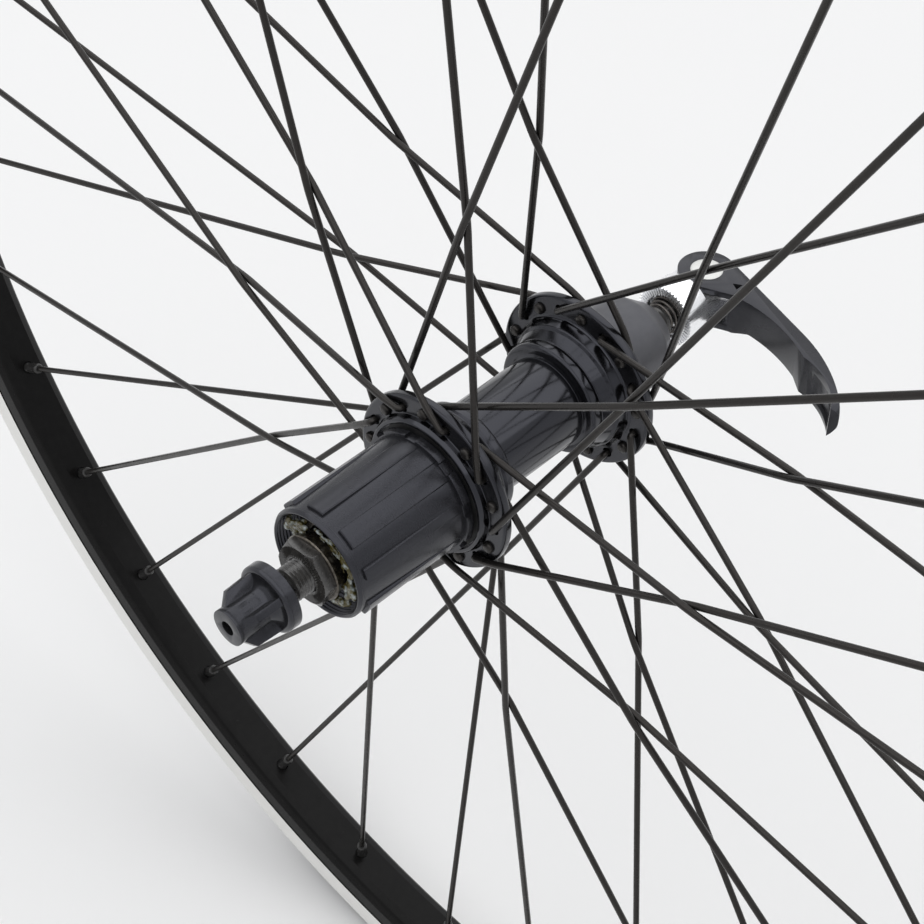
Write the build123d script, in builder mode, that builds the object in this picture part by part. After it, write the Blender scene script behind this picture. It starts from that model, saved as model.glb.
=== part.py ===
"""Rear bicycle wheel with a cassette hub and a quick-release skewer.

Frame: origin at the wheel's centre, the axle along Y with the drive side at -Y, +Z up.
Lengths are in millimetres, and angles in degrees run from +X towards +Z.
"""

import os
from math import acos, atan2, cos, degrees, hypot, pi, radians, sin, sqrt, tan

from build123d import *

# Fits
press_gap = 0.02
running_gap = 0.05
free_gap = 0.4

# Rim
bead_seat_radius = 279.5
rim_lip_height = 5.5
rim_depth = 21.0
shoulder_height = 4.6
rim_half_width = 10.2
bed_half_width = 5.0
bed_wall = 1.8
side_wall = 1.7
track_depth = 10.0
track_step = 0.35
well_depth = 3.4
well_half_width = 4.4
lip_thickness = 1.5
valve_hole_radius = 4.25
access_hole_radius = 4.0

# Spokes and nipples
spoke_count = 36
crossings = 3
first_spoke_angle = -153.7
wire_radius = 1.0
elbow_radius = 1.4
interlace_bend_radius = 60.0
interlace_gap = 0.2
head_radius = 1.75
head_thickness = 1.2
nipple_radius = 1.95
nipple_length = 12.0
nipple_showing = 6.5
nipple_head_radius = 3.0
nipple_head_length = 2.6
round_sides = 8

# Hub shell
drive_flange_y = -19.4
left_flange_y = 37.4
flange_radius = 26.9
flange_thickness = 3.0
flange_edge_round = 0.8
hole_circle_radius = 23.1
flange_hole_radius = 1.35
barrel_radius = 13.8
barrel_bore_radius = 11.5
neck_radius = 20.4
neck_taper = 0.9
neck_step = 0.9
neck_taper_length = 3.6
neck_step_length = 0.7
bead_radius = 17.3
bead_dip = 0.4
bead_dip_length = 7.4
bead_crest_length = 8.5
bead_round = 2.7
collar_radius = 21.2
drive_collar_length = 2.5
drive_mouth_radius = 19.4
ratchet_seat_radius = 19.0
cavity_floor_depth = 1.3
mouth_lip = 1.0
collar_taper = 0.4
left_collar_length = 1.7
left_collar_step = 1.4
left_end_length = 8.7
left_end_radius = 15.1
left_end_taper = 2.0

# Axle and bearings
over_locknuts = 135.0
axle_overhang = 5.5
axle_end_bevel = 0.6
axle_radius = 5.0
axle_bore_radius = 2.8
bearing_outer_radius = 13.0
bearing_inner_ring_radius = 6.9
bearing_width = 8.0
bearing_inset = 2.0
bearing_shield_depth = 0.4
bearing_ring_width = 1.3
spacer_radius = 6.5
locknut_flats = 17.0
locknut_length = 5.2
locknut_corner_angle = 5.0
locknut_bevel_angle = 30.0
dust_disc_radius = 12.2
dust_disc_thickness = 1.4

# Left end cap
cap_radius = 14.6
cap_wall = 1.6
cap_end_wall = 4.0
cap_face_radius = 9.0
cap_cone_radius = 12.6
cap_cone_length = 4.9
cap_round_length = 5.6

# Freehub
freehub_mouth_inset = 4.8
lip_length = 2.7
lip_bevel = 0.6
spline_root_radius = 16.4
spline_crest_radius = 17.4
spline_count = 9
groove_width_angle = 20.0
narrow_groove_angle = 11.5
narrow_groove_shift = 4.4
first_groove_angle = 16.9
lockring_radius = 15.05
lockring_depth = 8.9
freehub_bore_radius = 11.0
freehub_flange_radius = 18.7
freehub_flange_length = 2.4
freehub_flange_gap = 0.6
flange_notch_depth = 0.8
seal_land_radius = 17.0
seal_thickness = 0.8
carrier_radius = 14.4
carrier_bore_radius = 7.6

# Ratchet
tooth_count = 24
tooth_tip_radius = 15.6
tooth_root_radius = 16.9
ratchet_length = 4.6
pawl_count = 3
first_pawl_angle = 90.0
pawl_reach = 5.4
pawl_heel_radius = 1.1
pawl_pivot_radius = 13.0
pawl_width = 3.8
pawl_swing_angle = 22.0
tooth_lead_angle = 9.0
pawl_spring_thickness = 0.25
pawl_spring_width = 1.9

# Quick-release skewer
rod_radius = 2.5
rod_end_inset = 3.4
rod_hole_step = 0.4
nut_axle_gap = 3.2
nut_length = 16.0
nut_collar_radius = 9.75
nut_collar_edge = 2.6
nut_collar_round = 1.2
nut_collar_length = 6.0
nut_neck_round = 3.6
nut_core_radius = 5.0
nut_tip_radius = 5.2
nut_tip_length = 1.4
fin_count = 4
first_fin_angle = 38.0
fin_thickness = 2.2
fin_root_radius = 8.5
fin_tip_radius = 8.1
fin_slant = 3.0
housing_axle_gap = 2.3
housing_radius = 9.6
housing_collar_length = 9.0
spring_pocket_radius = 7.0
spring_pocket_depth = 3.2
serration_count = 48
serration_depth = 0.5
ear_half_thickness = 4.6
ear_radius = 7.9
eye_half_thickness = 3.0
eye_wall = 1.1
eye_gap = 0.3
cam_radius = 3.0
cam_throw = 2.0
pin_radius = 4.85
pin_proud = 0.3
spring_wire = 0.9
spring_wire_side = 0.72
spring_turns = 3.0
spring_small_radius = 4.4

# Quick-release lever, with places along and across its arm taken from the pivot
pivot_stand = 9.9
lever_half_width = 6.9
boss_radius = 8.6
arm_straight_reach = 38.0
arm_straight_drop = 3.9
arm_reach = 65.0
arm_drop = 23.0
arm_root_reach = 13.0
arm_root_drop = 4.2
arm_radius = 50.0
arm_under_width = 4.1
arm_under_round = 3.0
waist_start_reach = 14.0
waist_end_reach = 20.0
step_reach = 40.6
step_drop = 9.9
step_height = 2.1
step_length = 3.8
step_round = 0.8
tip_thickness = 2.4
tip_top_round = 3.0
tip_under_round = 9.0
grip_radius = 24.0
grip_under_width = 6.0
dish_start_share = 0.14
dish_end_share = 0.86
dish_radius = 14.0
dish_margin = 1.6
notch_reach = 11.4
notch_size = 1.7
notch_depth = 1.6

# Values that follow from the sizes above
right_face_y = -over_locknuts / 2
left_face_y = over_locknuts / 2
axle_length = over_locknuts + 2 * axle_overhang
rim_outer_radius = bead_seat_radius + rim_lip_height
bed_radius = rim_outer_radius - rim_depth
well_radius = bead_seat_radius - well_depth
spoke_angle_step = 360 / spoke_count
side_spokes = spoke_count // 2
lacing_angle = crossings * 2 * spoke_angle_step
half_flange = flange_thickness / 2
drive_outer_face_y = drive_flange_y - half_flange
drive_inner_face_y = drive_flange_y + half_flange
left_inner_face_y = left_flange_y - half_flange
left_outer_face_y = left_flange_y + half_flange
shell_mouth_y = drive_outer_face_y - drive_collar_length
cavity_floor_y = drive_inner_face_y + cavity_floor_depth
shell_end_y = left_outer_face_y + left_end_length
left_bearing_y = shell_end_y - bearing_inset - bearing_width
right_bearing_y = cavity_floor_y
freehub_mouth_y = right_face_y + freehub_mouth_inset
freehub_flange_y = shell_mouth_y - freehub_flange_gap
spline_end_y = freehub_flange_y - freehub_flange_length
outer_bearing_y = freehub_mouth_y + lockring_depth
inner_bearing_y = spline_end_y - bearing_width
ratchet_start_y = cavity_floor_y - free_gap / 2 - ratchet_length
carrier_end_y = cavity_floor_y - 2 * free_gap
seal_end_y = ratchet_start_y - free_gap
nut_face_y = -axle_length / 2 - nut_axle_gap
nut_tip_y = nut_face_y - nut_length
rod_end_y = nut_tip_y + rod_end_inset
shaft_fit_radius = axle_radius + running_gap
bearing_seat_radius = bearing_outer_radius + press_gap
housing_face_y = axle_length / 2 + housing_axle_gap
cheek_y = housing_face_y + housing_collar_length
pivot_y = cheek_y + pivot_stand

os.makedirs("parts", exist_ok=True)


def point(radius, angle, y):
    """Point at a radius and an angle about the axle."""
    return Vector(radius * cos(radians(angle)), y, radius * sin(radians(angle)))


class Spoke:
    """Route of one spoke of the interlaced, tangentially laced wheel."""

    def __init__(self, index):
        self.left = index % 2 == 0
        self.turn = 1 if index % 4 in (1, 2) else -1
        self.rim_angle = first_spoke_angle + index * spoke_angle_step
        self.hub_angle = self.rim_angle - self.turn * lacing_angle
        self.flange_y = left_flange_y if self.left else drive_flange_y
        outward = 1 if self.left else -1
        self.pulls_outside = self.turn == 1
        self.side = outward if self.pulls_outside else -outward
        elbow_height = half_flange + elbow_radius
        edge_height = half_flange + wire_radius + running_gap
        self.head = point(hole_circle_radius, self.hub_angle, self.flange_y - self.side * half_flange)
        self.elbow = point(hole_circle_radius, self.hub_angle, self.flange_y + self.side * elbow_height)
        self.seat = point(bed_radius, self.rim_angle, 0)
        half_step = radians(spoke_angle_step)
        lean = radians(lacing_angle)
        near = hole_circle_radius * (sin(lean) - tan(half_step) * cos(lean))
        share = near / (near + bed_radius * tan(half_step))
        flat_hub = point(hole_circle_radius, self.hub_angle, self.flange_y)
        crossing = flat_hub + (self.seat - flat_hub) * share
        self.crossing = crossing - Vector(0, self.side * (wire_radius + interlace_gap / 2), 0)
        along = (self.seat - flat_hub).normalized()
        reach = flat_hub.X * along.X + flat_hub.Z * along.Z
        edge_distance = sqrt(reach**2 + flange_radius**2 - hole_circle_radius**2) - reach
        edge = flat_hub + along * edge_distance
        self.edge = Vector(edge.X, self.flange_y + self.side * edge_height, edge.Z)
        self.direction = (self.seat - self.crossing).normalized()
        self.leg_direction = Vector(0, self.side, 0)

    def seat_plane(self, distance):
        """Plane across the spoke, at a distance outward from the rim's bed."""
        return Plane(origin=self.seat + self.direction * distance, z_dir=self.direction)


spokes = [Spoke(index) for index in range(spoke_count)]
nipple_start = -nipple_showing
nipple_head_start = nipple_length - nipple_showing - nipple_head_length
valve_angle = first_spoke_angle + (spoke_count * 2 // 3 - 0.5) * spoke_angle_step
valve_plane = Plane(
    origin=point(bed_radius, valve_angle, 0),
    z_dir=point(1, valve_angle, 0),
)

# Rim: a hollow double-wall section with hooked edges, drilled along the spokes
wall_half_width = rim_half_width - track_step
track_radius = rim_outer_radius - track_depth
shoulder_radius = bed_radius + shoulder_height
inner_half_width = rim_half_width - side_wall
seat_half_width = rim_half_width - lip_thickness
half_section = [
    (shoulder_radius, wall_half_width - track_step),
    (track_radius, wall_half_width),
    (track_radius + track_step, rim_half_width),
    (rim_outer_radius - track_step, rim_half_width),
    (rim_outer_radius, rim_half_width - track_step),
    (rim_outer_radius, seat_half_width - track_step),
    (rim_outer_radius - lip_thickness, seat_half_width - 2 * track_step),
    (bead_seat_radius + track_step, seat_half_width),
    (bead_seat_radius, seat_half_width - track_step),
    (bead_seat_radius - track_step, well_half_width + side_wall),
    (well_radius, well_half_width),
]
half_cavity = [
    (bed_radius + bed_wall, bed_half_width - bed_wall / 2),
    (shoulder_radius + bed_wall / 2, inner_half_width),
    (bead_seat_radius - 2 * bed_wall, inner_half_width),
    (bead_seat_radius - 2 * bed_wall, well_half_width + bed_wall),
    (well_radius - bed_wall, well_half_width),
]


def both_halves(half):
    """Closed symmetric outline from the half with positive second values."""
    return half + [(radius, -y) for radius, y in reversed(half)]


with BuildPart() as drills:
    with BuildSketch(*[spoke.seat_plane(-bed_wall) for spoke in spokes]):
        RegularPolygon(nipple_radius + free_gap, round_sides)
    extrude(amount=3 * bed_wall)
    with BuildSketch(*[spoke.seat_plane(well_radius - bed_radius - 2 * bed_wall) for spoke in spokes]):
        RegularPolygon(access_hole_radius, round_sides)
    extrude(amount=4 * bed_wall)
    with BuildSketch(valve_plane.offset(-bed_wall)):
        Circle(valve_hole_radius)
    extrude(amount=rim_depth)

with BuildPart() as rim:
    with BuildSketch(Plane.XY):
        with BuildLine():
            Polyline(*both_halves(half_section))
            RadiusArc((bed_radius, bed_half_width), half_section[0], rim_depth / 4)
            RadiusArc((shoulder_radius, -half_section[0][1]), (bed_radius, -bed_half_width), rim_depth / 4)
            Line((bed_radius, -bed_half_width), (bed_radius, bed_half_width))
        make_face()
        with BuildLine():
            Polyline(*both_halves(half_cavity), close=True)
        make_face(mode=Mode.SUBTRACT)
    revolve(axis=Axis.Y)
    add(drills.part, mode=Mode.SUBTRACT)
rim.part.label = "rim"
export_step(rim.part, "parts/rim.step")

# Nipples: one group of separate solids, each bored for its spoke
with BuildPart() as nipples:
    with BuildSketch(*[spoke.seat_plane(nipple_start) for spoke in spokes]):
        RegularPolygon(nipple_radius, round_sides)
    extrude(amount=nipple_length)
    with BuildSketch(*[spoke.seat_plane(nipple_head_start) for spoke in spokes]):
        RegularPolygon(nipple_head_radius, round_sides)
    extrude(amount=nipple_head_length)
    with BuildSketch(*[spoke.seat_plane(nipple_start) for spoke in spokes]):
        RegularPolygon(wire_radius + press_gap, round_sides, major_radius=False)
    extrude(amount=nipple_length - nipple_head_length / 2, mode=Mode.SUBTRACT)
nipples.part.label = "nipples"
export_step(nipples.part, "parts/nipples.step")

# Spokes: four groups, by flange and by the side of it that they pull from
spoke_groups = {
    "drive_outer_spokes": [spoke for spoke in spokes if not spoke.left and spoke.pulls_outside],
    "drive_inner_spokes": [spoke for spoke in spokes if not spoke.left and not spoke.pulls_outside],
    "left_outer_spokes": [spoke for spoke in spokes if spoke.left and spoke.pulls_outside],
    "left_inner_spokes": [spoke for spoke in spokes if spoke.left and not spoke.pulls_outside],
}
for group_name, group in spoke_groups.items():
    with BuildPart() as spoke_group:
        for spoke in group:
            end = spoke.seat + spoke.direction * (nipple_head_start - bed_wall)
            bends = [spoke.elbow, spoke.crossing]
            radii = [elbow_radius, interlace_bend_radius]
            if spoke.pulls_outside:
                bends.insert(1, spoke.edge)
                radii.append(interlace_bend_radius)
            with BuildLine():
                FilletPolyline(spoke.head, *bends, end, radius=radii)
            with BuildSketch(Plane(origin=spoke.head, z_dir=spoke.leg_direction)):
                RegularPolygon(wire_radius, round_sides)
            sweep()
            with BuildSketch(Plane(origin=spoke.head, z_dir=-spoke.leg_direction)):
                RegularPolygon(head_radius, round_sides)
            extrude(amount=head_thickness)
    spoke_group.part.label = group_name
    export_step(spoke_group.part, f"parts/{group_name}.step")


# Hub shell: turned barrel with two drilled flanges
def draw_neck(face_y, towards):
    """Neck from a flange's inner face down to the barrel, drawn in the open line."""
    round_start = (bead_radius, face_y + towards * bead_crest_length)
    round_end = (bead_radius - bead_round, face_y + towards * (bead_crest_length + bead_round))
    Polyline(
        (neck_radius, face_y),
        (neck_radius - neck_taper, face_y + towards * neck_taper_length),
        (neck_radius - neck_taper - neck_step, face_y + towards * (neck_taper_length + neck_step_length)),
        (bead_radius - bead_dip, face_y + towards * bead_dip_length),
        round_start,
    )
    RadiusArc(round_start, round_end, -towards * bead_round)
    Line(round_end, (barrel_radius, round_end[1]))


def flange_outline(outer_face_y, inner_face_y):
    """Rounded edge of a flange, from its outer face to its inner face."""
    inward = flange_edge_round if inner_face_y > outer_face_y else -flange_edge_round
    return [
        (flange_radius - flange_edge_round, outer_face_y),
        (flange_radius, outer_face_y + inward),
        (flange_radius, inner_face_y - inward),
        (flange_radius - flange_edge_round, inner_face_y),
    ]


right_seat_y = right_bearing_y + bearing_width
neck_length = bead_crest_length + bead_round
barrel_start_y = drive_inner_face_y + neck_length
barrel_end_y = left_inner_face_y - neck_length
with BuildPart() as hub_shell:
    with BuildSketch(Plane.XY):
        with BuildLine():
            Polyline(
                (drive_mouth_radius, seal_end_y),
                (drive_mouth_radius, shell_mouth_y),
                (drive_mouth_radius + mouth_lip, shell_mouth_y),
                (collar_radius - collar_taper, shell_mouth_y + mouth_lip),
                (collar_radius, drive_outer_face_y),
                *flange_outline(drive_outer_face_y, drive_inner_face_y),
                (neck_radius, drive_inner_face_y),
            )
            draw_neck(drive_inner_face_y, 1)
            Line((barrel_radius, barrel_start_y), (barrel_radius, barrel_end_y))
            draw_neck(left_inner_face_y, -1)
            Polyline(
                (neck_radius, left_inner_face_y),
                *reversed(flange_outline(left_outer_face_y, left_inner_face_y)),
                (collar_radius, left_outer_face_y),
                (collar_radius - 2 * collar_taper, left_outer_face_y + left_collar_length),
                (left_end_radius + left_end_taper, left_outer_face_y + left_collar_length + left_collar_step),
                (left_end_radius + mouth_lip / 2, shell_end_y - mouth_lip),
                (left_end_radius, shell_end_y),
                (bearing_seat_radius, shell_end_y),
                (bearing_seat_radius, left_bearing_y),
                (barrel_bore_radius, left_bearing_y),
                (barrel_bore_radius, right_seat_y),
                (bearing_seat_radius, right_seat_y),
                (bearing_seat_radius, cavity_floor_y),
                (ratchet_seat_radius + press_gap, cavity_floor_y),
                (ratchet_seat_radius + press_gap, seal_end_y),
                (drive_mouth_radius, seal_end_y),
            )
        make_face()
    revolve(axis=Axis.Y)
    for flange_y, first_angle in (
        (drive_flange_y, first_spoke_angle + spoke_angle_step),
        (left_flange_y, first_spoke_angle),
    ):
        with BuildSketch(Plane.XZ.offset(-flange_y)):
            with PolarLocations(hole_circle_radius, side_spokes, start_angle=first_angle):
                RegularPolygon(flange_hole_radius, round_sides)
        extrude(amount=flange_thickness, both=True, mode=Mode.SUBTRACT)
hub_shell.part.label = "hub_shell"
export_step(hub_shell.part, "parts/hub_shell.step")

# Cartridge bearings: sealed rings with recessed shields
bearing_starts = {
    "left_bearing": left_bearing_y,
    "right_bearing": right_bearing_y,
    "freehub_outer_bearing": outer_bearing_y,
    "freehub_inner_bearing": inner_bearing_y,
}
for bearing_name, start in bearing_starts.items():
    shield_outer = bearing_outer_radius - bearing_ring_width
    with BuildPart() as bearing:
        with BuildSketch(Plane.XY):
            with BuildLine():
                Polyline(
                    (shaft_fit_radius, start),
                    (bearing_inner_ring_radius, start),
                    (bearing_inner_ring_radius, start + bearing_shield_depth),
                    (shield_outer, start + bearing_shield_depth),
                    (shield_outer, start),
                    (bearing_outer_radius, start),
                    (bearing_outer_radius, start + bearing_width),
                    (shield_outer, start + bearing_width),
                    (shield_outer, start + bearing_width - bearing_shield_depth),
                    (bearing_inner_ring_radius, start + bearing_width - bearing_shield_depth),
                    (bearing_inner_ring_radius, start + bearing_width),
                    (shaft_fit_radius, start + bearing_width),
                    close=True,
                )
            make_face()
        revolve(axis=Axis.Y)
    bearing.part.label = bearing_name
    export_step(bearing.part, f"parts/{bearing_name}.step")

# Axle: hollow and bevelled at both ends
with BuildPart() as axle:
    with BuildSketch(Plane.XZ.offset(-axle_length / 2)):
        Circle(axle_radius)
        Circle(axle_bore_radius, mode=Mode.SUBTRACT)
    extrude(amount=axle_length)
    chamfer(axle.edges().filter_by(GeomType.CIRCLE).group_by(SortBy.RADIUS)[-1], axle_end_bevel)
axle.part.label = "axle"
export_step(axle.part, "parts/axle.step")

# Spacer tubes on the axle, between the bearings' inner rings
spacer_ends = {
    "freehub_spacer": (outer_bearing_y + bearing_width, inner_bearing_y),
    "middle_spacer": (inner_bearing_y + bearing_width, right_bearing_y),
    "hub_spacer": (right_bearing_y + bearing_width, left_bearing_y),
    "left_spacer": (left_bearing_y + bearing_width, left_face_y - cap_end_wall),
}
for spacer_name, (start, end) in spacer_ends.items():
    with BuildPart() as spacer:
        with BuildSketch(Plane.XZ.offset(-end)):
            Circle(spacer_radius)
            Circle(axle_radius + press_gap, mode=Mode.SUBTRACT)
        extrude(amount=end - start)
    spacer.part.label = spacer_name
    export_step(spacer.part, f"parts/{spacer_name}.step")

# Right spacer with its dust disc, and the hexagonal locknut outside it
locknut_inner_y = right_face_y + locknut_length
with BuildPart() as right_spacer:
    with BuildSketch(Plane.XY):
        with BuildLine():
            Polyline(
                (axle_radius + press_gap, locknut_inner_y),
                (locknut_flats / 2, locknut_inner_y),
                (locknut_flats / 2, outer_bearing_y - 2 * dust_disc_thickness),
                (dust_disc_radius, outer_bearing_y - 2 * dust_disc_thickness),
                (dust_disc_radius, outer_bearing_y - dust_disc_thickness),
                (spacer_radius, outer_bearing_y - dust_disc_thickness),
                (spacer_radius, outer_bearing_y),
                (axle_radius + press_gap, outer_bearing_y),
                close=True,
            )
        make_face()
    revolve(axis=Axis.Y)
right_spacer.part.label = "right_spacer"
export_step(right_spacer.part, "parts/right_spacer.step")

with BuildPart() as right_locknut:
    with BuildSketch(Plane.XZ.offset(-locknut_inner_y)):
        RegularPolygon(locknut_flats / 2, 6, major_radius=False, rotation=locknut_corner_angle)
        Circle(axle_radius + press_gap, mode=Mode.SUBTRACT)
    extrude(amount=locknut_length)
    with BuildSketch(Plane.XY):
        with BuildLine():
            Polyline(
                (locknut_flats / 2, right_face_y),
                (locknut_flats, right_face_y),
                (locknut_flats, right_face_y + locknut_flats / 2 * tan(radians(locknut_bevel_angle))),
                close=True,
            )
        make_face()
    revolve(axis=Axis.Y, mode=Mode.SUBTRACT)
right_locknut.part.label = "right_locknut"
export_step(right_locknut.part, "parts/right_locknut.step")

# Left end cap: a thin cup screwed on the axle, with a rounded conical end
cap_start_y = shell_end_y + free_gap
cap_cone_y = left_face_y - cap_cone_length
cap_round_y = cap_cone_y - cap_round_length
with BuildPart() as left_end_cap:
    with BuildSketch(Plane.XY):
        with BuildLine():
            Line((cap_radius - cap_wall, cap_start_y), (cap_radius, cap_start_y))
            Line((cap_radius, cap_start_y), (cap_radius, cap_round_y))
            TangentArc((cap_radius, cap_round_y), (cap_cone_radius, cap_cone_y), tangent=(0, 1))
            Polyline(
                (cap_cone_radius, cap_cone_y),
                (cap_face_radius, left_face_y),
                (axle_radius + press_gap, left_face_y),
                (axle_radius + press_gap, left_face_y - cap_end_wall),
                (cap_face_radius, left_face_y - cap_end_wall),
                (cap_radius - cap_wall, cap_round_y),
                (cap_radius - cap_wall, cap_start_y),
            )
        make_face()
    revolve(axis=Axis.Y)
left_end_cap.part.label = "left_end_cap"
export_step(left_end_cap.part, "parts/left_end_cap.step")

# Freehub body: splined outside, threaded mouth, pawl pockets at the rear
groove_step = 360 / spline_count
groove_outer_radius = freehub_flange_radius + free_gap
pawl_angles = [first_pawl_angle + index * 360 / pawl_count for index in range(pawl_count)]
pawl_start_y = carrier_end_y - free_gap - pawl_width


def ring_sector(radius, outer_radius, middle, width):
    """Outline of a ring's sector, drawn in the open line."""
    start = radians(middle - width / 2)
    end = radians(middle + width / 2)
    CenterArc((0, 0), radius, middle - width / 2, width)
    CenterArc((0, 0), outer_radius, middle - width / 2, width)
    Line((radius * cos(start), radius * sin(start)), (outer_radius * cos(start), outer_radius * sin(start)))
    Line((radius * cos(end), radius * sin(end)), (outer_radius * cos(end), outer_radius * sin(end)))


def pawl_plane(angle, y, swing=0):
    """Plane across the axle at a pawl's heel, with its own X along the pawl swung out by an angle."""
    heel = point(pawl_pivot_radius, angle, y) - point(pawl_reach / 2, angle - 90, 0)
    return Plane(origin=heel, x_dir=point(1, angle - 90 + swing, 0), z_dir=(0, -1, 0))


with BuildPart() as freehub_body:
    with BuildSketch(Plane.XY):
        with BuildLine():
            Polyline(
                (lockring_radius, freehub_mouth_y),
                (spline_root_radius - lip_bevel, freehub_mouth_y),
                (spline_root_radius, freehub_mouth_y + lip_bevel),
                (spline_root_radius, freehub_mouth_y + lip_length),
                (spline_crest_radius, freehub_mouth_y + lip_length),
                (spline_crest_radius, spline_end_y),
                (freehub_flange_radius, spline_end_y),
                (freehub_flange_radius, freehub_flange_y),
                (seal_land_radius, freehub_flange_y),
                (seal_land_radius, seal_end_y),
                (carrier_radius, seal_end_y),
                (carrier_radius, carrier_end_y),
                (carrier_bore_radius, carrier_end_y),
                (carrier_bore_radius, inner_bearing_y + bearing_width),
                (bearing_seat_radius, inner_bearing_y + bearing_width),
                (bearing_seat_radius, inner_bearing_y),
                (freehub_bore_radius, inner_bearing_y),
                (freehub_bore_radius, outer_bearing_y + bearing_width),
                (bearing_seat_radius, outer_bearing_y + bearing_width),
                (bearing_seat_radius, outer_bearing_y),
                (lockring_radius, outer_bearing_y),
                close=True,
            )
        make_face()
    revolve(axis=Axis.Y)
    with BuildSketch(Plane.XZ.offset(-spline_end_y)):
        for index in range(1, spline_count):
            with BuildLine():
                middle = first_groove_angle + index * groove_step
                ring_sector(spline_root_radius, groove_outer_radius, middle, groove_width_angle)
            make_face()
        with BuildLine():
            middle = first_groove_angle + narrow_groove_shift
            ring_sector(spline_root_radius, groove_outer_radius, middle, narrow_groove_angle)
        make_face()
    extrude(amount=spline_end_y - freehub_mouth_y - lip_length, mode=Mode.SUBTRACT)
    with BuildSketch(Plane.XZ.offset(-freehub_flange_y)):
        for index in range(spline_count):
            with BuildLine():
                middle = first_groove_angle + index * groove_step
                notch_radius = freehub_flange_radius - flange_notch_depth
                ring_sector(notch_radius, groove_outer_radius, middle, narrow_groove_angle)
            make_face()
    extrude(amount=freehub_flange_length, mode=Mode.SUBTRACT)
    with BuildSketch(*[pawl_plane(angle, carrier_end_y) for angle in pawl_angles]):
        Circle(pawl_heel_radius + running_gap)
        with Locations((0, -pawl_heel_radius - running_gap)):
            Rectangle(pawl_reach + free_gap, 4 * pawl_heel_radius, align=(Align.MIN, Align.MIN))
    extrude(amount=pawl_width + 2 * free_gap, mode=Mode.SUBTRACT)
freehub_body.part.label = "freehub_body"
export_step(freehub_body.part, "parts/freehub_body.step")

# Pawls, swung out into the ratchet's teeth, and the leaf springs under them
for pawl_name, angle in zip(("pawl_a", "pawl_b", "pawl_c"), pawl_angles):
    with BuildPart() as pawl:
        with BuildSketch(pawl_plane(angle, pawl_start_y + pawl_width, pawl_swing_angle)):
            Circle(pawl_heel_radius)
            with BuildLine():
                Polyline(
                    (0, pawl_heel_radius),
                    (pawl_reach, pawl_heel_radius),
                    (pawl_reach - free_gap, -pawl_heel_radius / 2),
                    (0, -pawl_heel_radius),
                    close=True,
                )
            make_face()
        extrude(amount=pawl_width)
    pawl.part.label = pawl_name
    export_step(pawl.part, f"parts/{pawl_name}.step")

with BuildPart() as pawl_springs:
    spring_end_y = pawl_start_y + (pawl_width + pawl_spring_width) / 2
    with BuildSketch(*[pawl_plane(angle, spring_end_y) for angle in pawl_angles]):
        with BuildLine():
            floor = -pawl_heel_radius - running_gap
            lift = pawl_reach / 2 * sin(radians(pawl_swing_angle))
            Polyline(
                (pawl_reach, floor),
                (pawl_reach - 2 * pawl_spring_thickness, floor),
                (pawl_reach / 2, floor + lift),
                (pawl_reach / 2 + pawl_spring_thickness, floor + lift + pawl_spring_thickness),
                close=True,
            )
        make_face()
    extrude(amount=pawl_spring_width)
pawl_springs.part.label = "pawl_springs"
export_step(pawl_springs.part, "parts/pawl_springs.step")

# Ratchet ring: saw teeth that the pawls catch in one direction
tooth_angle = 360 / tooth_count
with BuildPart() as ratchet_ring:
    with BuildSketch(Plane.XZ.offset(-ratchet_start_y - ratchet_length)):
        Circle(ratchet_seat_radius)
        with BuildLine():
            teeth = []
            for index in range(tooth_count):
                face_angle = radians(pawl_angles[0] - tooth_lead_angle + index * tooth_angle)
                teeth.append((tooth_tip_radius * cos(face_angle), tooth_tip_radius * sin(face_angle)))
                teeth.append((tooth_root_radius * cos(face_angle), tooth_root_radius * sin(face_angle)))
            Polyline(*teeth, close=True)
        make_face(mode=Mode.SUBTRACT)
    extrude(amount=ratchet_length)
ratchet_ring.part.label = "ratchet_ring"
export_step(ratchet_ring.part, "parts/ratchet_ring.step")

# Seal ring on the freehub, just inside the hub shell's mouth
with BuildPart() as freehub_seal:
    with BuildSketch(Plane.XZ.offset(-seal_end_y)):
        Circle(drive_mouth_radius - free_gap)
        Circle(seal_land_radius + press_gap, mode=Mode.SUBTRACT)
    extrude(amount=seal_thickness)
freehub_seal.part.label = "freehub_seal"
export_step(freehub_seal.part, "parts/freehub_seal.step")

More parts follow.
